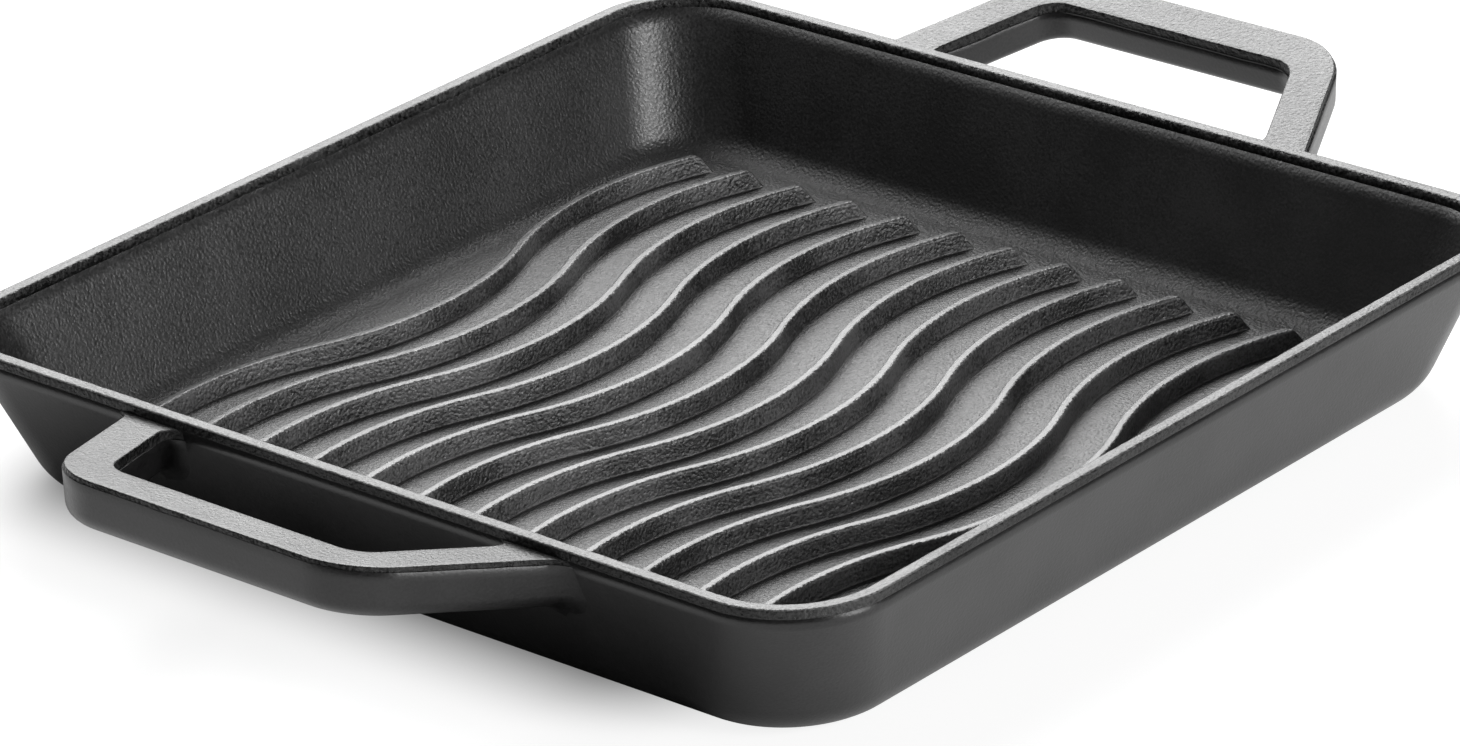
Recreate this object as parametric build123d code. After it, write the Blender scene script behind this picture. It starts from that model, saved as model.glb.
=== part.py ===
from build123d import *
import math
import os

# Square grill pan cast in iron: a flared dish with a ground lip, two loop handles and a
# field of wavy ribs. Millimetres. The origin is on the ground under the dish's centre,
# X runs from handle to handle and Z is up.

# Dish
rim_span = 280.0              # outside of the lip, the same both ways
pan_height = 41.4             # ground to the top of the lip
rim_height = 2.3              # height of the ground lip
wall_flare = 13.5             # how far the wall draws in from the lip down to the ground
wall_thickness = 4.6          # measured level
floor_thickness = 4.0
corner_radius = 29.5          # outside, across the slanting edge between two walls
bottom_edge_radius = 12.2     # outside, between wall and base
rim_outer_bevel = 0.4
rim_inner_bevel = 0.8

# Handles, measured along and square to their sloping top face
handle_drop = 2.5             # from the top of the lip down to where the face meets the wall
handle_slope = 11.7           # degrees, rising outwards
handle_reach = 47.3
handle_half_root = 67.5       # half the width over the arms at the wall
handle_half_tip = 46.4        # the same at the tip, before the corners are rounded
handle_corner_radius = 20.4   # outside
handle_width = 11.6           # of the bar that makes the loop
handle_depth = 13.8           # down the outer side
handle_inner_lift = 2.6       # how much higher the underside lies at the window
handle_outer_draft = 9.0      # degrees that the outer side leans in towards the underside
handle_inner_draft = 2.0      # degrees that the window side does
handle_outer_round = 4.5      # lower outer edge
band_depth = 2.5              # height of the ground band under the top face
band_step = 0.4               # how far the rough casting stands out below the band

# Ribs
rib_count = 13
rib_side_gap = 2.2            # from the outermost ribs' widest reach to where the floor curves up
rib_height = 5.0
rib_base_width = 3.9
rib_crest_width = 2.6
rib_end_gap = 5.4             # from a rib's end to where the floor starts to curve up
rib_end_slope = 33.0          # degrees from the vertical
rib_wavelength = 150.0
rib_swing = 16.0              # from the lowest to the highest point of a wave

overrun = 10.0                # how far parts run on into the wall before they are cut off
steep_share = 0.5             # an upright edge has more than this share of its direction in Z

wall_lean = math.atan2(wall_flare, pan_height - rim_height)
rim_seat = pan_height - rim_height
base_span = rim_span - 2 * wall_flare


def outside_span(height):
    """Width over the dish's sloping wall at a height."""
    return base_span + 2 * wall_flare * height / rim_seat


def flared_block(inset, low, high):
    """Solid block between two heights that flares like the dish's wall, inset from it.

    Its upright corners and its bottom edge are rounded, less by the inset and by the low height.
    """
    foot = outside_span(low) / 2 - inset
    head = outside_span(high) / 2 - inset
    profile = make_face(Polyline((-foot, low), (foot, low), (head, high), (-head, high), close=True))
    block = extrude(Plane.XZ * profile, head, both=True) & extrude(Plane.YZ * profile, head, both=True)
    corners = block.edges().filter_by(lambda edge: abs(edge.tangent_at(0).Z) > steep_share)
    block = fillet(corners, corner_radius - inset)
    return fillet(block.faces().sort_by(Axis.Z)[0].edges(), bottom_edge_radius - low)


def cavity():
    """The dish's inside, open at the top of the lip."""
    return flared_block(wall_thickness, floor_thickness, pan_height)


def outside_block():
    """The dish without its inside, up to the seat of the lip."""
    return flared_block(0, 0, rim_seat)


def pan_body():
    """Flat floor and flared wall, up to the seat of the lip."""
    return outside_block() - cavity()


def rim():
    """Ground lip: upright outside, in line with the top of the wall, with both edges broken."""
    seat = outside_block().faces().sort_by(Axis.Z)[-1]
    ring = extrude(seat, rim_height) - cavity()
    land = ring.faces().sort_by(Axis.Z)[-1]
    ring = chamfer(land.outer_wire().edges(), rim_outer_bevel)
    land = ring.faces().sort_by(Axis.Z)[-1]
    return chamfer(land.inner_wires()[0].edges(), rim_inner_bevel)


def loop_line():
    """Middle line of the loop in the plane of its top face: X outwards from the wall, Y along it.

    It starts behind the wall, in line with one arm, and runs round the grip and back.
    """
    half_width = handle_width / 2
    spread = math.atan2(handle_half_root - handle_half_tip, handle_reach)
    tip = handle_reach - half_width
    half_wall = handle_half_root - half_width / math.cos(spread)
    half_grip = half_wall - tip * math.tan(spread)
    half_back = half_wall + overrun * math.tan(spread)
    return FilletPolyline(
        (-overrun, half_back),
        (tip, half_grip),
        (tip, -half_grip),
        (-overrun, -half_back),
        radius=handle_corner_radius - half_width,
    )


def band_section():
    """Ground band across the bar: X towards the outer side, Y up, the top face at zero."""
    half_width = handle_width / 2
    corners = [(half_width, 0), (half_width, -band_depth), (-half_width, -band_depth), (-half_width, 0)]
    return make_face(Polyline(*corners, close=True))


def casting_section():
    """Rough casting under the band: drafted sides and an underside that rises to the window."""
    edge = handle_width / 2 + band_step
    inner_depth = handle_depth - handle_inner_lift
    outer_foot = edge - (handle_depth - band_depth) * math.tan(math.radians(handle_outer_draft))
    inner_foot = edge - (inner_depth - band_depth) * math.tan(math.radians(handle_inner_draft))
    corners = [
        (edge, -band_depth),
        (outer_foot, -handle_depth),
        (-inner_foot, -inner_depth),
        (-edge, -band_depth),
    ]
    section = make_face(Polyline(*corners, close=True))
    return fillet(section.vertices().sort_by(Axis.Y)[0], handle_outer_round)


def wall_wedge():
    """Block behind the plane of the +X wall's outside, as wide as that wall is straight."""
    foot = outside_span(0) / 2
    head = outside_span(pan_height) / 2
    profile = make_face(Polyline((foot, 0), (head, pan_height), (0, pan_height), (0, 0), close=True))
    return extrude(Plane.XZ * profile, base_span / 2 - corner_radius, both=True)


def right_handle():
    """Loop handle on the +X side, cut off at the wall. Its top face slopes up from the wall."""
    slope = math.radians(handle_slope)
    seat_height = pan_height - handle_drop
    top = Plane(
        origin=(outside_span(seat_height) / 2, 0, seat_height),
        x_dir=(math.cos(slope), 0, math.sin(slope)),
        z_dir=(-math.sin(slope), 0, math.cos(slope)),
    )
    line = top * loop_line()
    heading = line.tangent_at(0)
    start = Plane(origin=line.position_at(0), x_dir=top.z_dir.cross(heading), z_dir=heading)
    bar = sweep(start * band_section(), path=line) + sweep(start * casting_section(), path=line)
    return bar - wall_wedge()


def left_handle():
    """The same handle on the -X side."""
    return mirror(right_handle(), about=Plane.YZ)


def flat_floor_span():
    """Width of the floor inside, before it curves up into the wall."""
    edge_radius = bottom_edge_radius - floor_thickness
    curve = edge_radius * math.tan((math.pi / 2 - wall_lean) / 2)
    return outside_span(floor_thickness) - 2 * wall_thickness - 2 * curve


def rib_half_length():
    """Half the length of a rib at the floor."""
    return flat_floor_span() / 2 - rib_end_gap


def rib_line():
    """Centreline of a rib: tangent arcs of one radius, one to each half wave, low in the middle."""
    turn = rib_wavelength / 4
    radius = ((2 * turn) ** 2 + rib_swing ** 2) / (4 * rib_swing)
    reach = rib_half_length() + rib_base_width
    outermost = round((reach / turn - 1) / 2)
    arcs = []
    for number in range(-outermost, outermost + 1):
        crest = 2 * turn * number
        side = -1 if number % 2 == 0 else 1
        start = -reach if number == -outermost else crest - turn
        stop = reach if number == outermost else crest + turn
        stations = (start, (start + stop) / 2, stop)
        rises = [rib_swing / 2 - radius + math.sqrt(radius ** 2 - (x - crest) ** 2) for x in stations]
        arcs.append(ThreePointArc(*[(x, side * rise) for x, rise in zip(stations, rises)]))
    return Wire(arcs)


def rib_section():
    """Section across a rib: drafted sides and a flat crest, standing on its origin."""
    foot = rib_base_width / 2
    crest = rib_crest_width / 2
    return make_face(Polyline((-foot, 0), (foot, 0), (crest, rib_height), (-crest, rib_height), close=True))


def rib_end(side):
    """Sloping plane that cuts a rib off, facing outwards. Side is 1 at the +X end, else -1."""
    slope = math.radians(rib_end_slope)
    facing = (side * math.cos(slope), 0, math.sin(slope))
    return Plane(origin=(side * rib_half_length(), 0, 0), z_dir=facing)


def wavy_rib():
    """One rib, standing on the ground plane with its wave about the X axis."""
    line = rib_line()
    heading = line.tangent_at(0)
    start = Plane(origin=line.position_at(0), x_dir=(-heading.Y, heading.X, 0), z_dir=heading)
    rib = sweep(start * rib_section(), path=line)
    for side in (-1, 1):
        rib = split(rib, bisect_by=rib_end(side), keep=Keep.BOTTOM)
    return rib


def rib_pitch():
    """Distance between ribs that spreads them evenly over the flat floor."""
    room = flat_floor_span() - 2 * rib_side_gap - rib_swing - rib_base_width
    return room / (rib_count - 1)


def ribs():
    """All ribs by name, numbered from the +Y side."""
    first = rib_pitch() * (rib_count - 1) / 2
    rib = wavy_rib()
    placed = {}
    for number in range(rib_count):
        place = Pos(0, first - rib_pitch() * number, floor_thickness)
        placed[f"rib_{number + 1:02d}"] = place * rib
    return placed


def main():
    pieces = {
        "pan_body": pan_body(),
        "rim": rim(),
        "left_handle": left_handle(),
        "right_handle": right_handle(),
    }
    pieces.update(ribs())
    os.makedirs("parts", exist_ok=True)
    for name, solid in pieces.items():
        export_step(solid, f"parts/{name}.step")


main()
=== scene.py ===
import math

import bpy
from mathutils import Matrix, Vector, noise


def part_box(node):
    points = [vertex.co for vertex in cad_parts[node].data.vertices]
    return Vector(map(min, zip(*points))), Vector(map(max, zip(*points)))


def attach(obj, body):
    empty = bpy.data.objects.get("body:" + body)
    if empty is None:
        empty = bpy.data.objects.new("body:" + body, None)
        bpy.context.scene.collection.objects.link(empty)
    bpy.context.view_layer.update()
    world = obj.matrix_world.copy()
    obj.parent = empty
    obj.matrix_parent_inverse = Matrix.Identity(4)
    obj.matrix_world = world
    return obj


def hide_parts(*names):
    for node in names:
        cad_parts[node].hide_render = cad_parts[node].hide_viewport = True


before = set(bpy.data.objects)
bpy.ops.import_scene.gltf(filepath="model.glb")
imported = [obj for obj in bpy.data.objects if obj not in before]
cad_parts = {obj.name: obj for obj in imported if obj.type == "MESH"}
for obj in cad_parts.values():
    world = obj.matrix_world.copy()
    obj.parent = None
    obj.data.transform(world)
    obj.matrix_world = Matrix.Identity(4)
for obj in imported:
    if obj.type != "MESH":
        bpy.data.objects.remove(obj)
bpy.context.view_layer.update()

# Looks of a square grill pan cast in iron: a dish with a ground lip, two loop handles and a
# field of wavy ribs. Each piece stands in for one node of the frame. Sizes are in
# millimetres, and are turned into metres where a mesh or an object is made.
MM = 0.001

# Dish. Its outer size comes from the frame.
rim_low, rim_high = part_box("rim")
HALF_SPAN = rim_high.x / MM
PAN_HEIGHT = rim_high.z / MM
RIM_SEAT = rim_low.z / MM
WALL_FLARE = 13.5               # how far the wall draws in from the lip's seat to the ground
WALL_THICKNESS = 4.6            # measured level
WALL_LEAN = math.atan2(WALL_FLARE, RIM_SEAT)
WALL_TURN = 90 - math.degrees(WALL_LEAN)        # from level to the wall, in degrees
FLOOR_THICKNESS = 4.0
CORNER_RADIUS_TOP = 27.3        # outside, in plan
CORNER_RADIUS_BASE = 27.9
BOTTOM_EDGE_RADIUS = 12.2
CORNER_STEPS = 28
SIDE_STEPS = 24
WALL_STEPS = 8
OUTER_EDGE_STEPS = 12
INNER_EDGE_STEPS = 10

# Lip. Waves are (length, seed) of a slow change from place to place.
OUTER_ROUND = 0.7               # upper edges
INNER_ROUND = 1.4
LEDGE_WIDTH = 0.05              # how far the upright band stands back over the ledge
LEDGE_HEIGHT = 0.55             # from the seat to the ledge's middle
LEDGE_SWAY = 0.35
LEDGE_WAVE = (9.0, 3.0)
LEDGE_RIPPLE = (2.5, 7.0)
LEDGE_RIPPLE_SHARE = 0.5
# Rings over the ledge: height over its middle, share of its width gone, share of its sway
LEDGE_RINGS = [(-0.12, 0, 1), (0, 0.2, 1), (0.16, 0.8, 1), (0.3, 1, 1), (0.7, 1, 0.5)]
LIP_WEAR = (2.6, 11.0)
LIP_WEAR_SHARE = 0.0011         # of the distance from the middle
LIP_SIDE_STEPS = 150
LIP_OUTER_STEPS = 5
LIP_INNER_STEPS = 8
LIP_LAND_STEPS = 3              # rings of the inner rounding that are ground; wear starts at the last

# Ribs
RIB_COUNT = sum(name.startswith("rib_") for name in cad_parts)
RIB_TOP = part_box("rib_01")[1].z / MM
RIB_HEIGHT = RIB_TOP - FLOOR_THICKNESS
RIB_BASE_WIDTH = 3.9
RIB_CREST_WIDTH = 2.6
RIB_CREST_ROUND = 0.9
RIB_FOOT_ROUND = 0.5
RIB_HALF_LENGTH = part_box("rib_01")[1].x / MM
RIB_END_SLOPE = math.radians(33)
RIB_END_ROUND = 0.6
RIB_CORNER_ROUND = 0.9
RIB_WAVELENGTH = 150.0
RIB_SWING = 16.0
RIB_SUNK = 0.03                 # how far the foot runs into the floor
RIB_SKIRT = 0.6                 # how far the sides go on under the floor
RIB_HIGHLIGHT_SPANS = 2              # spans of the section on each side of the crest's middle that carry the painted highlight
RIB_CREST_STEPS = 7
RIB_SIDE_STEPS = 6
RIB_FOOT_STEPS = 6
RIB_END_STRETCH = 6.5           # length at each end with stations close together
RIB_END_STEP = 0.3
RIB_STEP = 1.8

# Handles
HANDLE_DROP = 2.5               # from the lip's top down to where the top face meets the wall
HANDLE_SLOPE = math.radians(11.7)
HANDLE_REACH = 47.3
HANDLE_HALF_ROOT = 67.5         # half the width over the arms at the wall
HANDLE_HALF_TIP = 46.4          # and at the tip
HANDLE_CORNER_RADIUS = 20.4     # outside
HANDLE_WIDTH = 11.6
HANDLE_DEPTH = 13.8
HANDLE_INNER_LIFT = 2.6         # how much higher the underside lies at the window
HANDLE_OUTER_DRAFT = math.radians(9)
HANDLE_INNER_DRAFT = math.radians(2)
HANDLE_OUTER_ROUND = 4.5        # lower edges
HANDLE_INNER_ROUND = 2.6
HANDLE_TOP_ROUND = 0.35
HANDLE_TOP_MIDDLE = 4.0         # half the width of the top that doesn't spread at the roots
HANDLE_OUTER_STEPS = 9
HANDLE_INNER_STEPS = 7
HANDLE_EDGE_STEPS = 4
HANDLE_TOP_STEPS = 6

# Ground band round a handle's top, and the ledge of rough casting under it
BAND_OUTSIDE = 1.2              # depth of the band outside
BAND_WINDOW = 2.6               # and in the window
BAND_SWAY_OUTSIDE = 0.2
BAND_SWAY_WINDOW = 0.4
BAND_WAVE_OUTSIDE = (7.0, 5.0)
BAND_WAVE_WINDOW = (11.0, 8.0)
BAND_STEP = 0.4                 # width of the ledge beside the arms and in the window
BAND_GRIP_STEP = 0.08           # and outside the grip
BAND_STEP_HEADING = 0.8         # share of the bar's heading that has to point outwards for full width
BAND_ROW_DROP = 0.15            # how far under the outside band's middle its extra row lies
BAND_FOOT = 0.1                 # from the band's lowest row down to the ledge
BAND_CORNER = 0.2               # share of the ledge's width taken by each of its corners
BAND_DIP = 0.03                 # how far the ledge falls up to its outer corner
BAND_FALL = 0.12                # and past it

# Roots of the handles, which grow where they come near the wall
ROOT_OUTSIDE = 3.6              # radius of the fillet on the outer side
ROOT_WINDOW = 6.0               # and in the window
ROOT_SUNK = 0.12                # how far inside the wall the fillets start
ROOT_DEPTH = 2.4                # how far the bar runs into the wall
SLIDE_START = 6.5               # distances from the wall between which the slant fades out
SLIDE_STOP = 28.0
SLIDE_ROUNDS = 4

# Stations along a handle
LOOP_START = -9.0               # behind the wall
LOOP_FINE_LENGTH = 20.0         # length from there with stations close together
LOOP_FINE_STEP = 0.18
LOOP_COARSE_STEP = 2.5
LOOP_CORNER_STEPS = 22
LOOP_GRIP_STEPS = 9

# Iron: how its patterns relate to the size of the grains
CELL_SHARE = 0.8
GRAINS_TO_A_PATCH = 40
TONE_LOW = 0.18                 # levels of the pattern where the colour starts and stops changing
TONE_HIGH = 0.34
GLOSS_LOW = 0.3                 # and the same for the roughness
GLOSS_HIGH = 0.7
LOW_START = 4.3                 # heights between which the inside's skin changes from floor to wall
LOW_STOP = 9.0
LOW_BUMP = 4.5                  # how much the bump grows with the roughness added there

# Floor: its glow grows with the distance from a square under the dish that is set off towards -X and +Y,
# which paints a shade round the pan besides its real shadow
FLOOR_HALF = 6000.0
FLOOR_DROP = 0.1                # keeps it clear of the base
FLOOR_GREY = 0.4
SHADE_MIDDLE = (-24.0, 24.0, 0.0)
SHADE_HALF = (80.0, 80.0, 0.0)
SHADE_REACH = 50.0
GLOSS_SHADE = 39.0              # how much further the painted shade reaches in reflections
FLOOR_GLOW = 0.84

# Lights: name, degrees from +X and above the floor, metres away, metres wide and high, radiance
LIGHTS = [
    ("back_panel", 44, 24, 2.0, 1.3, 0.8, 5.8),
    ("high_panel", 44, 47, 2.0, 1.3, 0.85, 8.2),
    ("side_panel", -86, 18, 1.6, 0.5, 0.9, 11.0),
    ("top_panel", 100, 52, 2.0, 1.1, 0.9, 1.6),
]
WORLD_LEVEL = 0.08

# Camera: where it stands, and how it is turned in degrees
CAMERA_PLACE = (-1258.1, -1106.8, 773.5)
CAMERA_AZIMUTH = -48.602
CAMERA_ELEVATION = 24.358
CAMERA_ROLL = -2.604
CAMERA_LENS = 186.48
CAMERA_SENSOR = 36.0


def new_mesh(name, points, faces, materials, kinds=(), hidden=()):
    """Smooth mesh object from points in millimetres.

    Kinds are the faces' materials. Hidden faces are flat, which keeps them out of the shading.
    """
    mesh = bpy.data.meshes.new(name)
    mesh.from_pydata([Vector(point) * MM for point in points], [], faces)
    for material in materials:
        mesh.materials.append(material)
    for polygon, kind in zip(mesh.polygons, kinds):
        polygon.material_index = kind
    mesh.polygons.foreach_set("use_smooth", [True] * len(mesh.polygons))
    for index in hidden:
        mesh.polygons[index].use_smooth = False
    mesh.validate()
    mesh.update()
    piece = bpy.data.objects.new(name, mesh)
    bpy.context.collection.objects.link(piece)
    return piece


def place(piece, node):
    """Puts a finished piece on the frame in a node's stead."""
    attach(piece, "root")
    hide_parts(node)


def ring_faces(levels, count, closed=False):
    """Faces between rings of as many points each: (ring, step, corners)."""
    faces = []
    for level in range(levels if closed else levels - 1):
        low = level * count
        high = (level + 1) % levels * count
        for step in range(count):
            beside = (step + 1) % count
            faces.append((level, step, (low + step, low + beside, high + beside, high + step)))
    return faces


def end_face(level, count):
    """Corners of a flat face that closes a ring."""
    return tuple(range(level * count, (level + 1) * count))


def arc(centre, radius, start, stop, steps):
    """Points of an arc, angles in degrees."""
    angles = [math.radians(start + (stop - start) * step / steps) for step in range(steps + 1)]
    return [(centre[0] + radius * math.cos(a), centre[1] + radius * math.sin(a)) for a in angles]


def arc_back(radius, turn):
    """How far from a corner an arc starts that rounds it off and turns through some degrees."""
    return radius * math.tan(math.radians(turn) / 2)


def between(first, last, shares):
    """Points between two others, at shares of the way."""
    run = (last[0] - first[0], last[1] - first[1])
    return [(first[0] + run[0] * share, first[1] + run[1] * share) for share in shares]


def rounded_corner(before, corner, after, radius, steps):
    """Points of an arc of a radius that rounds off a corner of an outline."""
    corner = Vector(corner)
    back = (Vector(before) - corner).normalized()
    ahead = (Vector(after) - corner).normalized()
    half = math.acos(back.dot(ahead)) / 2
    centre = corner + (back + ahead).normalized() * (radius / math.sin(half))
    reach = radius / math.tan(half)
    start = corner + back * reach - centre
    stop = corner + ahead * reach - centre
    turn = start.angle(stop)
    points = []
    for step in range(steps + 1):
        share = step / steps
        spoke = start * math.sin((1 - share) * turn) + stop * math.sin(share * turn)
        points.append(tuple(centre + spoke / math.sin(turn)))
    return points


def sway(x, y, z, wave, side=1):
    """Slow change between -1 and 1 from place to place, the same on each run."""
    length, seed = wave
    return noise.noise(Vector((x / length, y / length, z / length + seed * side)))


def smooth_min(a, b, reach):
    """Smaller of two values, with the change between them rounded over a reach."""
    share = max(reach - abs(a - b), 0) / reach
    return min(a, b) - share * share * reach / 4


def outer_half(height):
    """Half the width over the sloping wall at a height."""
    return HALF_SPAN - WALL_FLARE + WALL_FLARE * height / RIM_SEAT


def corner_radius(height):
    """Radius of the wall's outer corner in plan at a height."""
    return CORNER_RADIUS_BASE + (CORNER_RADIUS_TOP - CORNER_RADIUS_BASE) * height / RIM_SEAT


def square_ring(half, radius, height, side_steps=SIDE_STEPS):
    """Points of a rounded square at a height, anticlockwise."""
    room = half - radius
    ring = []
    for quarter in range(4):
        start = 90 * quarter
        middle = math.radians(start + 45)
        centre = (math.copysign(room, math.cos(middle)), math.copysign(room, math.sin(middle)))
        corner = arc(centre, radius, start, start + 90, CORNER_STEPS)
        x, y = corner[-1]
        ahead_x, ahead_y = -math.cos(math.radians(start)), -math.sin(math.radians(start))
        runs = [2 * room * step / side_steps for step in range(1, side_steps)]
        side = [(x + ahead_x * run, y + ahead_y * run) for run in runs]
        ring.extend((x, y, height) for x, y in corner + side)
    return ring


def dish_side(inset, low, edge_radius, edge_steps):
    """Rings of one side of the wall, from the level bottom up to the lip's seat.

    Each is (half width, height, corner radius). The inset is the distance in from the outside.
    """
    edge_start = outer_half(low) - inset - arc_back(edge_radius, WALL_TURN)
    rings = arc((edge_start, low + edge_radius), edge_radius, -90, WALL_TURN - 90, edge_steps)
    wall_start = rings[-1][1]
    for step in range(1, WALL_STEPS + 1):
        height = wall_start + (RIM_SEAT - wall_start) * step / WALL_STEPS
        rings.append((outer_half(height) - inset, height))
    return [(half, height, corner_radius(height) - (outer_half(height) - half)) for half, height in rings]


def build_dish(outside_skin, inside_skin):
    """Dish up to the lip's seat, with a flat base outside and a flat floor inside."""
    outside = dish_side(0, 0, BOTTOM_EDGE_RADIUS, OUTER_EDGE_STEPS)
    inner_radius = BOTTOM_EDGE_RADIUS - FLOOR_THICKNESS
    inside = dish_side(WALL_THICKNESS, FLOOR_THICKNESS, inner_radius, INNER_EDGE_STEPS)
    rings = outside + inside[::-1]
    points = [point for half, height, radius in rings for point in square_ring(half, radius, height)]
    count = len(points) // len(rings)
    seat = len(outside) - 1
    faces = []
    kinds = []
    hidden = []
    for level, _, corners in ring_faces(len(rings), count):
        if level == seat:
            hidden.append(len(faces))
        faces.append(corners)
        kinds.append(0 if level <= seat else 1)
    faces += [end_face(0, count)[::-1], end_face(len(rings) - 1, count)]
    kinds += [0, 1]
    place(new_mesh("dish", points, faces, [outside_skin, inside_skin], kinds, hidden), "pan_body")


def lip_rings():
    """Rings of the ground lip, from its seat up outside and down inside.

    Each is (half width, height, kind, share of the ledge's sway, share of the wear).
    """
    band = HALF_SPAN - LEDGE_WIDTH
    ledge = RIM_SEAT + LEDGE_HEIGHT
    rings = [(HALF_SPAN, RIM_SEAT, "band", 0, 0)]
    for rise, gone, share in LEDGE_RINGS:
        rings.append((HALF_SPAN - LEDGE_WIDTH * gone, ledge + rise, "band", share, 0))
    land_out = band - OUTER_ROUND
    land_start = PAN_HEIGHT - OUTER_ROUND / 2
    for half, height in arc((land_out, PAN_HEIGHT - OUTER_ROUND), OUTER_ROUND, 0, 90, LIP_OUTER_STEPS):
        rings.append((half, height, "band" if height < land_start else "land", 0, 0))
    land_in = outer_half(PAN_HEIGHT) - WALL_THICKNESS + arc_back(INNER_ROUND, WALL_TURN)
    rings.append(((land_in + land_out) / 2, PAN_HEIGHT, "land", 0, 0))
    inner = arc((land_in, PAN_HEIGHT - INNER_ROUND), INNER_ROUND, 90, 90 + WALL_TURN, LIP_INNER_STEPS)
    for step, (half, height) in enumerate(inner, 1):
        kind = "land" if step <= LIP_LAND_STEPS else "band"
        rings.append((half, height, kind, 0, 1 if step >= LIP_LAND_STEPS else 0))
    rings.append((outer_half(RIM_SEAT) - WALL_THICKNESS, RIM_SEAT, "cast", 0, 0))
    return rings


def build_lip(cast, band, land):
    """Ground lip with an uneven ledge under its upright band and an inner edge that wears unevenly."""
    rings = lip_rings()
    points = []
    for half, height, _, sway_share, wear_share in rings:
        radius = CORNER_RADIUS_TOP - (HALF_SPAN - half)
        for x, y, z in square_ring(half, radius, height, LIP_SIDE_STEPS):
            rise = sway(x, y, 0, LEDGE_WAVE) + LEDGE_RIPPLE_SHARE * sway(x, y, 0, LEDGE_RIPPLE)
            z += LEDGE_SWAY * sway_share * rise
            shrink = 1 + LIP_WEAR_SHARE * wear_share * sway(x, y, z, LIP_WEAR)
            points.append((x * shrink, y * shrink, z))
    count = len(points) // len(rings)
    underside = len(rings) - 1
    slots = {"cast": 0, "band": 1, "land": 2}
    faces = []
    kinds = []
    hidden = []
    for level, _, corners in ring_faces(len(rings), count, closed=True):
        if level == underside:
            hidden.append(len(faces))
        faces.append(corners)
        kinds.append(slots[rings[level][2]])
    place(new_mesh("lip", points, faces, [cast, band, land], kinds, hidden), "rim")


def rib_centre(x):
    """Offset and heading of a rib's wave at x: tangent arcs, one to each half wave, low in the middle.

    Past the rib's ends the wave runs straight on.
    """
    turn = RIB_WAVELENGTH / 4
    radius = ((2 * turn) ** 2 + RIB_SWING ** 2) / (4 * RIB_SWING)
    nearest = max(-RIB_HALF_LENGTH, min(RIB_HALF_LENGTH, x))
    number = round(nearest / (2 * turn))
    side = -1 if number % 2 == 0 else 1
    away = nearest - 2 * turn * number
    drop = math.sqrt(radius ** 2 - away ** 2)
    slope = -side * away / drop
    return side * (RIB_SWING / 2 - radius + drop) + slope * (x - nearest), math.atan(slope)


def rib_section():
    """Section across a rib as (offset, height), from foot to foot over the crest."""
    turn = 90 - math.degrees(math.atan2((RIB_BASE_WIDTH - RIB_CREST_WIDTH) / 2, RIB_HEIGHT))
    crest_start = RIB_CREST_WIDTH / 2 - arc_back(RIB_CREST_ROUND, turn)
    crest_centre = (crest_start, RIB_HEIGHT - RIB_CREST_ROUND)
    crest = arc(crest_centre, RIB_CREST_ROUND, 90, 90 - turn, RIB_CREST_STEPS)
    foot_centre = (RIB_BASE_WIDTH / 2 + arc_back(RIB_FOOT_ROUND, turn), RIB_FOOT_ROUND)
    foot = arc(foot_centre, RIB_FOOT_ROUND, 270 - turn, 270, RIB_FOOT_STEPS)
    side = between(crest[-1], foot[0], [step / RIB_SIDE_STEPS for step in range(1, RIB_SIDE_STEPS)])
    half = [(crest_start / 2, RIB_HEIGHT)] + crest + side + foot
    return [(-offset, height) for offset, height in reversed(half)] + [(0, RIB_HEIGHT)] + half


def rib_stations():
    """Places along X: close together at the ends, further apart between them."""
    end = RIB_HALF_LENGTH + RIB_FOOT_ROUND
    head = [step * RIB_END_STEP - end for step in range(math.ceil(RIB_END_STRETCH / RIB_END_STEP))]
    reach = end - RIB_END_STRETCH
    count = round(2 * reach / RIB_STEP)
    body = [2 * reach * step / count - reach for step in range(count + 1)]
    return head + body + [-x for x in reversed(head)]


def rib_end_cut(x, across, height):
    """Height of a place on a rib, cut by the ends' slopes, which are rounded in plan and at the foot."""
    flank = max(abs(across) - (RIB_BASE_WIDTH / 2 - RIB_CORNER_ROUND), 0)
    flank = min(flank, RIB_CORNER_ROUND)
    corner = RIB_CORNER_ROUND - math.sqrt(RIB_CORNER_ROUND ** 2 - flank ** 2)
    ramp = (RIB_HALF_LENGTH - abs(x) - corner) / math.tan(RIB_END_SLOPE)
    ramp = -smooth_min(-ramp, 0, RIB_FOOT_ROUND)
    return max(smooth_min(height, ramp, RIB_END_ROUND), 0)


def build_rib(number, cast, crest_highlight):
    """Wavy rib with a rounded crest, along which a lighter strip paints the highlight. Its sides go on
    under the floor and are closed there.
    """
    node = f"rib_{number:02d}"
    low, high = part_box(node)
    middle = (low.y + high.y) / 2 / MM
    section = rib_section()
    points = []
    for x in rib_stations():
        offset, heading = rib_centre(x)
        row = []
        for across, height in section:
            place_x = x - math.sin(heading) * across
            place_y = middle + offset + math.cos(heading) * across
            rise = rib_end_cut(place_x, across, height)
            row.append((place_x, place_y, FLOOR_THICKNESS - RIB_SUNK + rise))
        skirts = [(foot[0], foot[1], FLOOR_THICKNESS - RIB_SKIRT) for foot in (row[0], row[-1])]
        points += [skirts[0], *row, skirts[1]]
    width = len(section) + 2
    rows = len(points) // width
    crest = width // 2
    faces = []
    kinds = []
    hidden = []
    for row, col, corners in ring_faces(rows, width):
        if col in (0, width - 2, width - 1):
            hidden.append(len(faces))
        faces.append(corners[::-1])
        kinds.append(1 if crest - RIB_HIGHLIGHT_SPANS <= col < crest + RIB_HIGHLIGHT_SPANS else 0)
    hidden += [len(faces), len(faces) + 1]
    faces += [end_face(0, width), end_face(rows - 1, width)[::-1]]
    kinds += [0, 0]
    place(new_mesh(f"ribbed_{number:02d}", points, faces, [cast, crest_highlight], kinds, hidden), node)


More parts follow.
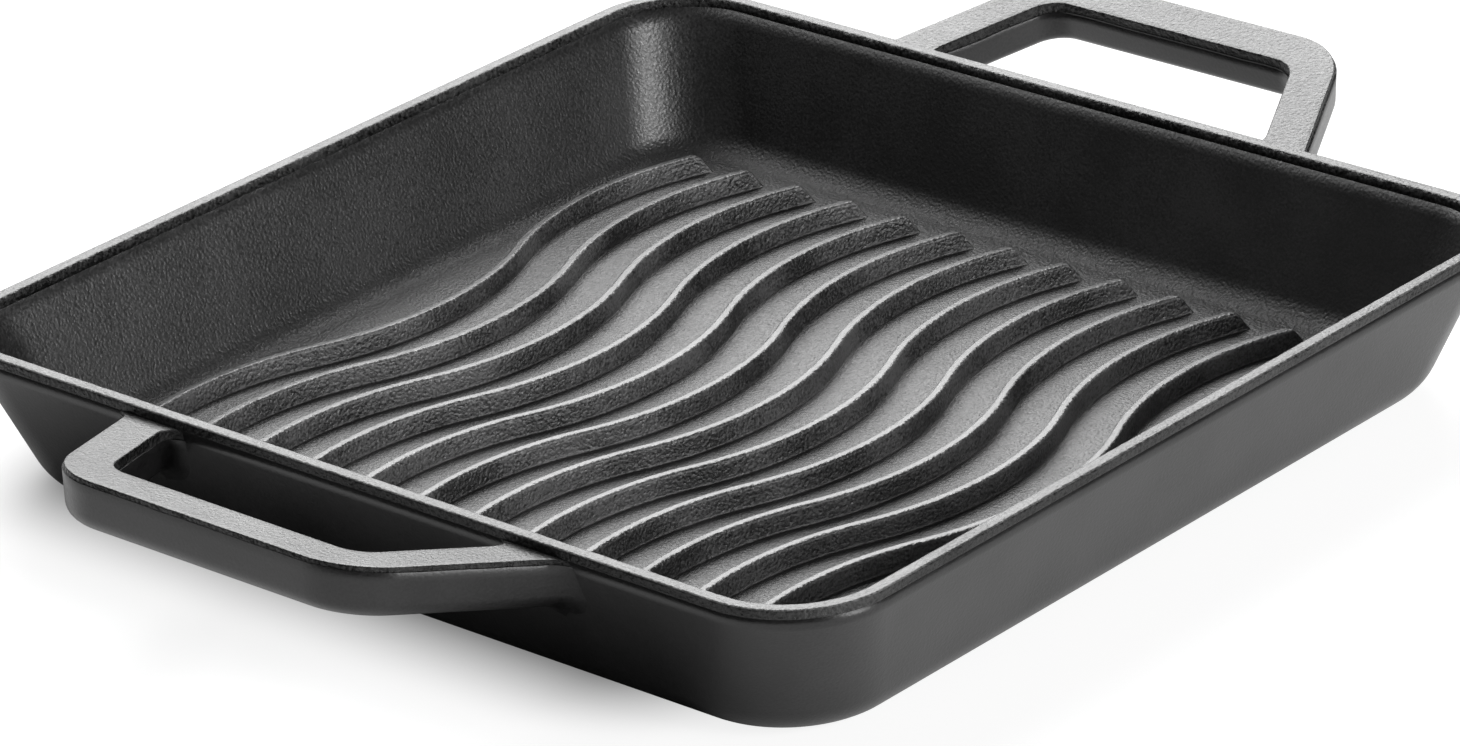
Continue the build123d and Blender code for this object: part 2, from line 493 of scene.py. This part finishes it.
def loop_stations():
    """Middle line of the loop in its top plane, from one root to the other: (place, heading).

    X runs outwards from the wall and Y along it. The line starts behind the wall.
    """
    half_width = HANDLE_WIDTH / 2
    spread = math.atan2(HANDLE_HALF_ROOT - HANDLE_HALF_TIP, HANDLE_REACH)
    tip = HANDLE_REACH - half_width
    half_wall = HANDLE_HALF_ROOT - half_width / math.cos(spread)
    start = Vector((LOOP_START, half_wall - LOOP_START * math.tan(spread)))
    corner = Vector((tip, half_wall - tip * math.tan(spread)))
    arm = (corner - start).normalized()
    grip = Vector((0, -1))
    radius = HANDLE_CORNER_RADIUS - half_width
    bend = math.acos(arm.dot(grip))
    back = radius * math.tan(bend / 2)
    first = corner - arm * back
    second = corner + grip * back
    coarse_length = (first - start).length - LOOP_FINE_LENGTH
    fine = round(LOOP_FINE_LENGTH / LOOP_FINE_STEP)
    coarse = round(coarse_length / LOOP_COARSE_STEP)
    runs = [LOOP_FINE_LENGTH * step / fine for step in range(fine)]
    runs += [LOOP_FINE_LENGTH + coarse_length * step / coarse for step in range(coarse)]
    stations = [(start + arm * run, arm) for run in runs]
    centre = first + Vector((arm.y, -arm.x)) * radius
    for step in range(LOOP_CORNER_STEPS + 1):
        turned = Matrix.Rotation(-bend * step / LOOP_CORNER_STEPS, 2)
        stations.append((centre + turned @ (first - centre), turned @ arm))
    for step in range(1, LOOP_GRIP_STEPS + 1):
        stations.append((Vector((second.x, second.y - second.y * step / LOOP_GRIP_STEPS)), grip))
    mirrored = [(Vector((p.x, -p.y)), Vector((-h.x, h.y))) for p, h in reversed(stations[:-1])]
    return stations + mirrored


def band_ledge(band_edge, cast_edge, depth):
    """Points down over the ledge under the ground band: those of the band and those of the casting."""
    step = cast_edge - band_edge
    band = [(band_edge, BAND_FOOT - depth), (band_edge + step * BAND_CORNER, -depth)]
    cast = [(cast_edge - step * BAND_CORNER, -depth - BAND_DIP), (cast_edge, -depth - BAND_FALL)]
    return band, cast


def handle_outline(outer_band, window_band, outer_step):
    """Outline across the bar: (towards the outer side, up, kind), clockwise from the top's window side."""
    half = HANDLE_WIDTH / 2
    edge = half + BAND_STEP
    band_edge = edge - outer_step
    outer_band_foot, outer_ledge = band_ledge(band_edge, edge, outer_band)
    window_band_foot, window_ledge = band_ledge(-half, -edge, window_band)
    outer_top = outer_ledge[-1]
    inner_top = window_ledge[-1]
    inner_depth = HANDLE_DEPTH - HANDLE_INNER_LIFT
    outer_low = (edge - (HANDLE_DEPTH - outer_band) * math.tan(HANDLE_OUTER_DRAFT), -HANDLE_DEPTH)
    inner_low = ((inner_depth - window_band) * math.tan(HANDLE_INNER_DRAFT) - edge, -inner_depth)
    outer_arc = rounded_corner(outer_top, outer_low, inner_low, HANDLE_OUTER_ROUND, HANDLE_OUTER_STEPS)
    inner_arc = rounded_corner(outer_low, inner_low, inner_top, HANDLE_INNER_ROUND, HANDLE_INNER_STEPS)
    flat = half - HANDLE_TOP_ROUND
    outer_flat = band_edge - HANDLE_TOP_ROUND
    top_shares = [step / HANDLE_TOP_STEPS for step in range(HANDLE_TOP_STEPS + 1)]
    top = between((-flat, 0), (outer_flat, 0), top_shares)
    band = arc((outer_flat, -HANDLE_TOP_ROUND), HANDLE_TOP_ROUND, 90, 0, HANDLE_EDGE_STEPS)[1:]
    band += [(band_edge, -outer_band / 2 - BAND_ROW_DROP)] + outer_band_foot
    thirds = (0.33, 0.66)
    cast = outer_ledge + between(outer_top, outer_arc[0], thirds) + outer_arc
    cast += between(outer_arc[-1], inner_arc[0], thirds) + inner_arc
    cast += between(inner_arc[-1], inner_top, thirds) + window_ledge[::-1]
    window = window_band_foot[::-1] + [(-half, -window_band / 2)]
    window += arc((-flat, -HANDLE_TOP_ROUND), HANDLE_TOP_ROUND, 180, 90, HANDLE_EDGE_STEPS)[:-1]
    stretches = [("top", top), ("band", band), ("cast", cast), ("band", window)]
    return [(x, y, kind) for kind, stretch in stretches for x, y in stretch]


def outward(outline, index):
    """Outward direction of the outline at a point, with no upward part."""
    across, _, kind = outline[index]
    if kind == "top":
        return Vector((math.copysign(1, across) if abs(across) > HANDLE_TOP_MIDDLE else 0, 0))
    along = Vector(outline[(index + 1) % len(outline)][:2]) - Vector(outline[index - 1][:2])
    normal = Vector((-along.y, along.x)).normalized()
    if normal.y > 0:
        normal.y = 0
        normal.normalize()
    return normal


def wall_gap(point):
    """Distance out from the dish's wall, or from its edge above the lip's seat, along X."""
    return point.x - outer_half(min(point.z, RIM_SEAT))


def slide(point, course, gap):
    """How far to move a point along the bar so that its gap to the wall is the middle line's.

    It counts in full beside the wall and not at all past the arms' middle.
    """
    share = min(max((SLIDE_STOP - gap) / (SLIDE_STOP - SLIDE_START), 0), 1)
    if share == 0:
        return 0
    run = 0
    for _ in range(SLIDE_ROUNDS):
        moved = point + course * run
        rate = course.x - (WALL_FLARE / RIM_SEAT * course.z if moved.z < RIM_SEAT else 0)
        run += (gap - wall_gap(moved)) / rate
    return run * share * share * (3 - 2 * share)


def handle_rows(side):
    """Rows of points round the bar of the +X handle, from root to root, and the kinds along a row.

    Fillets widen the bar near the wall. Side is 1 or -1, and only the band's sway heeds it.
    """
    seat = PAN_HEIGHT - HANDLE_DROP
    origin = Vector((outer_half(seat), 0, seat))
    out_dir = Vector((math.cos(HANDLE_SLOPE), 0, math.sin(HANDLE_SLOPE)))
    up_dir = Vector((-math.sin(HANDLE_SLOPE), 0, math.cos(HANDLE_SLOPE)))
    along_dir = Vector((0, 1, 0))
    down_wall = Vector((-math.sin(WALL_LEAN), 0, -math.cos(WALL_LEAN)))
    rows = []
    for spot, heading in loop_stations():
        across = Vector((-heading.y, heading.x))
        course = out_dir * heading.x + along_dir * heading.y
        outer_band = BAND_OUTSIDE + BAND_SWAY_OUTSIDE * sway(spot.x, spot.y, 0, BAND_WAVE_OUTSIDE, side)
        window_band = BAND_WINDOW + BAND_SWAY_WINDOW * sway(spot.x, spot.y, 0, BAND_WAVE_WINDOW, side)
        arm_share = min(abs(heading.x) / BAND_STEP_HEADING, 1)
        outer_step = BAND_GRIP_STEP + (BAND_STEP - BAND_GRIP_STEP) * arm_share
        outline = handle_outline(outer_band, window_band, outer_step)
        line_gap = wall_gap(origin + out_dir * spot.x + along_dir * spot.y)
        row = []
        for index, (x, y, _) in enumerate(outline):
            flat = spot + across * x
            point = origin + out_dir * flat.x + along_dir * flat.y + up_dir * y
            point = point + course * slide(point, course, line_gap)
            radius = ROOT_OUTSIDE if x > 0 else ROOT_WINDOW
            gap = max(min(wall_gap(point) + ROOT_SUNK, radius), 0)
            grow = radius - math.sqrt(radius ** 2 - (radius - gap) ** 2)
            normal = outward(outline, index)
            sideways = math.copysign(normal.x * grow, normal.x * across.y)
            row.append(point + along_dir * sideways + down_wall * (-normal.y * grow))
        if max(wall_gap(point) for point in row) > -ROOT_DEPTH:
            rows.append(row)
    return rows, [kind for _, _, kind in outline]


def build_handle(node, side, cast, band, land):
    """Loop handle on one side of the dish, 1 at +X and -1 at -X, cut off inside the wall."""
    rows, row_kinds = handle_rows(side)
    points = []
    for row in rows:
        for point in row:
            deepest = outer_half(min(point.z, RIM_SEAT)) - ROOT_DEPTH
            points.append((side * max(point.x, deepest), point.y, point.z))
    width = len(row_kinds)
    slots = {"cast": 0, "band": 1, "top": 2}
    faces = []
    kinds = []
    for row, col, (a, b, c, d) in ring_faces(len(rows), width):
        faces.append((a, d, c, b) if side > 0 else (b, c, d, a))
        kinds.append(slots[row_kinds[col]])
    ends = [end_face(0, width), end_face(len(rows) - 1, width)[::-1]]
    faces += ends if side > 0 else [end[::-1] for end in ends]
    kinds += [0, 0]
    place(new_mesh(node.replace("handle", "loop"), points, faces, [cast, band, land], kinds), node)


def node_maker(tree):
    """Returns a short way to add nodes to a tree and link them."""

    def add(kind, inputs=None, **settings):
        item = tree.nodes.new(kind)
        for name, value in settings.items():
            setattr(item, name, value)
        for name, value in (inputs or {}).items():
            if isinstance(value, bpy.types.NodeSocket):
                tree.links.new(value, item.inputs[name])
            else:
                item.inputs[name].default_value = value
        return item

    return add


def new_material(name):
    """Material with an empty tree, and the way to add nodes to it."""
    material = bpy.data.materials.new(name)
    material.use_nodes = True
    material.node_tree.nodes.clear()
    return material, node_maker(material.node_tree)


def iron_material(name, dark, light, roughness, spread, ior, pebble, bump, depth=0.0003, low=0.0):
    """Seasoned cast iron, with a pebbled skin, small changes of colour and uneven gloss.

    The colour runs from dark to light, and the roughness spreads to both sides. Pebble is the
    number of grains to a metre. The bump is a strength, and its depth is in metres. Low is the
    roughness added near the dish's floor.
    """
    material, add = new_material(name)
    spot = add("ShaderNodeTexCoord").outputs["Object"]
    fine = add("ShaderNodeTexNoise", {"Vector": spot, "Scale": pebble, "Detail": 3.0, "Roughness": 0.55})
    fine = fine.outputs["Fac"]
    cells = add("ShaderNodeTexVoronoi", {"Vector": spot, "Scale": pebble * CELL_SHARE}, feature="SMOOTH_F1")
    broad = add("ShaderNodeTexNoise", {"Vector": spot, "Scale": pebble / GRAINS_TO_A_PATCH, "Detail": 4.0})
    grain = add("ShaderNodeMath", {0: fine, 1: cells.outputs["Distance"]}, operation="ADD")
    tone = add("ShaderNodeMath", {0: broad.outputs["Fac"], 1: fine}, operation="MULTIPLY")
    colours = add("ShaderNodeValToRGB", {"Fac": tone.outputs[0]})
    ends = colours.color_ramp.elements
    ends[0].position, ends[0].color = TONE_LOW, (*dark, 1)
    ends[1].position, ends[1].color = TONE_HIGH, (*light, 1)
    rough = add("ShaderNodeMapRange", {
        "Value": fine, "From Min": GLOSS_LOW, "From Max": GLOSS_HIGH,
        "To Min": roughness - spread, "To Max": roughness + spread,
    }).outputs["Result"]
    strength = bump
    if low:
        height = add("ShaderNodeSeparateXYZ", {"Vector": spot}).outputs["Z"]
        extra = add("ShaderNodeMapRange", {
            "Value": height, "From Min": LOW_START * MM, "From Max": LOW_STOP * MM,
            "To Min": low, "To Max": 0.0,
        }, interpolation_type="SMOOTHSTEP").outputs["Result"]
        rough = add("ShaderNodeMath", {0: rough, 1: extra}, operation="ADD").outputs[0]
        more = add("ShaderNodeMath", {0: extra, 1: LOW_BUMP, 2: bump}, operation="MULTIPLY_ADD")
        strength = more.outputs[0]
    skin = add("ShaderNodeBump", {"Height": grain.outputs[0], "Strength": strength, "Distance": depth})
    shader = add("ShaderNodeBsdfPrincipled", {
        "Base Color": colours.outputs["Color"],
        "Roughness": rough,
        "Normal": skin.outputs["Normal"],
        "IOR": ior,
    })
    add("ShaderNodeOutputMaterial", {"Surface": shader.outputs["BSDF"]})
    return material


def floor_material():
    """Pale floor: white to the eye and to reflections, with a painted shade round the pan, and it keeps the
    shadow.
    """
    material, add = new_material("pale_floor")
    ray = add("ShaderNodeLightPath").outputs
    seen = add("ShaderNodeMath", {0: ray["Is Camera Ray"], 1: ray["Is Glossy Ray"]}, operation="MAXIMUM")
    seen = add("ShaderNodeMath", {0: seen.outputs[0], 1: ray["Is Transmission Ray"]}, operation="MAXIMUM")
    spot = add("ShaderNodeTexCoord").outputs["Object"]
    # The glow rises with the distance from this square, which paints the shade near the pan.
    middle = Vector(SHADE_MIDDLE) * MM
    shifted = add("ShaderNodeVectorMath", {0: spot, 1: middle}, operation="SUBTRACT")
    mirrored = add("ShaderNodeVectorMath", {0: shifted.outputs[0]}, operation="ABSOLUTE")
    square = Vector(SHADE_HALF) * MM
    past = add("ShaderNodeVectorMath", {0: mirrored.outputs[0], 1: square}, operation="SUBTRACT")
    past = add("ShaderNodeVectorMath", {0: past.outputs[0], 1: (0, 0, 0)}, operation="MAXIMUM")
    away = add("ShaderNodeVectorMath", {0: past.outputs[0]}, operation="LENGTH")
    later = add("ShaderNodeMath", {0: ray["Is Glossy Ray"], 1: GLOSS_SHADE * MM}, operation="MULTIPLY")
    run = add("ShaderNodeMath", {0: away.outputs["Value"], 1: later.outputs[0]}, operation="SUBTRACT")
    level = add("ShaderNodeMapRange", {
        "Value": run.outputs[0], "From Min": 0.0, "From Max": SHADE_REACH * MM,
        "To Min": 0.0, "To Max": FLOOR_GLOW,
    }, interpolation_type="SMOOTHSTEP")
    level = add("ShaderNodeMath", {0: seen.outputs[0], 1: level.outputs[0]}, operation="MULTIPLY")
    glow = add("ShaderNodeEmission", {"Color": (1, 1, 1, 1), "Strength": level.outputs[0]})
    matt = add("ShaderNodeBsdfDiffuse", {"Color": (FLOOR_GREY, FLOOR_GREY, FLOOR_GREY, 1)})
    both = add("ShaderNodeAddShader", {0: glow.outputs[0], 1: matt.outputs[0]})
    add("ShaderNodeOutputMaterial", {"Surface": both.outputs[0]})
    return material


def build_floor():
    """Pale floor just under the pan."""
    half = FLOOR_HALF
    corners = [(-half, -half, 0), (half, -half, 0), (half, half, 0), (-half, half, 0)]
    floor = new_mesh("floor", corners, [(0, 1, 2, 3)], [floor_material()])
    floor.location.z = -FLOOR_DROP * MM


def soft_light(name, azimuth, elevation, distance, width, depth, radiance):
    """Rectangular area light aimed at the dish: degrees from +X and above the floor, and metres."""
    turn = math.radians(azimuth)
    rise = math.radians(elevation)
    away = Vector((math.cos(turn) * math.cos(rise), math.sin(turn) * math.cos(rise), math.sin(rise)))
    data = bpy.data.lights.new(name, "AREA")
    data.shape = "RECTANGLE"
    data.size = width
    data.size_y = depth
    data.energy = radiance * math.pi * width * depth
    light = bpy.data.objects.new(name, data)
    light.location = away * distance
    light.rotation_euler = away.to_track_quat("Z", "Y").to_euler()
    light.visible_camera = False
    bpy.context.collection.objects.link(light)


def build_lights():
    """Soft panels behind, beside and over the pan, and a faint even light from all round."""
    for light in LIGHTS:
        soft_light(*light)
    world = bpy.data.worlds.new("studio")
    world.use_nodes = True
    background = world.node_tree.nodes["Background"]
    background.inputs["Color"].default_value = (1, 1, 1, 1)
    background.inputs["Strength"].default_value = WORLD_LEVEL
    bpy.context.scene.world = world


def build_camera():
    """Camera fitted to the photograph."""
    turn = math.radians(CAMERA_AZIMUTH)
    rise = math.radians(CAMERA_ELEVATION)
    roll = math.radians(CAMERA_ROLL)
    back = Vector((math.sin(turn) * math.cos(rise), -math.cos(turn) * math.cos(rise), math.sin(rise)))
    right = Vector((math.cos(turn), math.sin(turn), 0))
    up = back.cross(right)
    rolled_right = right * math.cos(roll) + up * math.sin(roll)
    rolled_up = -right * math.sin(roll) + up * math.cos(roll)
    data = bpy.data.cameras.new("camera")
    data.sensor_fit = "HORIZONTAL"
    data.sensor_width = CAMERA_SENSOR
    data.lens = CAMERA_LENS
    camera = bpy.data.objects.new("camera", data)
    rotation = Matrix((rolled_right, rolled_up, back)).transposed()
    camera.matrix_world = Matrix.Translation(Vector(CAMERA_PLACE) * MM) @ rotation.to_4x4()
    bpy.context.collection.objects.link(camera)
    bpy.context.scene.camera = camera


smooth_cast = iron_material(
    "smooth_cast_iron", dark=(0.006, 0.0059, 0.006), light=(0.02, 0.0195, 0.02),
    roughness=0.34, spread=0.05, ior=1.5, pebble=1600.0, bump=0.1)
pebbled_cast = iron_material(
    "pebbled_cast_iron", dark=(0.003, 0.0029, 0.003), light=(0.03, 0.0295, 0.03),
    roughness=0.42, spread=0.09, ior=1.9, pebble=1500.0, bump=0.35, low=0.1)
# The ribs' iron is lighter than the inside's, which paints in light on the rib sides.
rib_cast = iron_material(
    "rib_cast_iron", dark=(0.004, 0.0039, 0.004), light=(0.14, 0.139, 0.14),
    roughness=0.43, spread=0.12, ior=1.95, pebble=1500.0, bump=0.7)
# Lighter iron along the rib crests, which paints their highlight.
crest_highlight = iron_material(
    "crest_highlight_iron", dark=(0.07, 0.07, 0.07), light=(0.135, 0.135, 0.135),
    roughness=0.37, spread=0.05, ior=1.6, pebble=1500.0, bump=0.2)
fettled = iron_material(
    "fettled_iron", dark=(0.002, 0.002, 0.002), light=(0.06, 0.06, 0.06),
    roughness=0.44, spread=0.16, ior=1.4, pebble=1100.0, bump=1.0, depth=0.0005)
ground = iron_material(
    "ground_iron", dark=(0.04, 0.04, 0.04), light=(0.16, 0.16, 0.16),
    roughness=0.42, spread=0.1, ior=1.6, pebble=1400.0, bump=0.5)

build_camera()
build_floor()
build_lights()
build_dish(smooth_cast, pebbled_cast)
build_lip(smooth_cast, fettled, ground)
for rib_number in range(1, RIB_COUNT + 1):
    build_rib(rib_number, rib_cast, crest_highlight)
build_handle("right_handle", 1, smooth_cast, fettled, ground)
build_handle("left_handle", -1, smooth_cast, fettled, ground)

bpy.context.scene.view_settings.view_transform = "Standard"
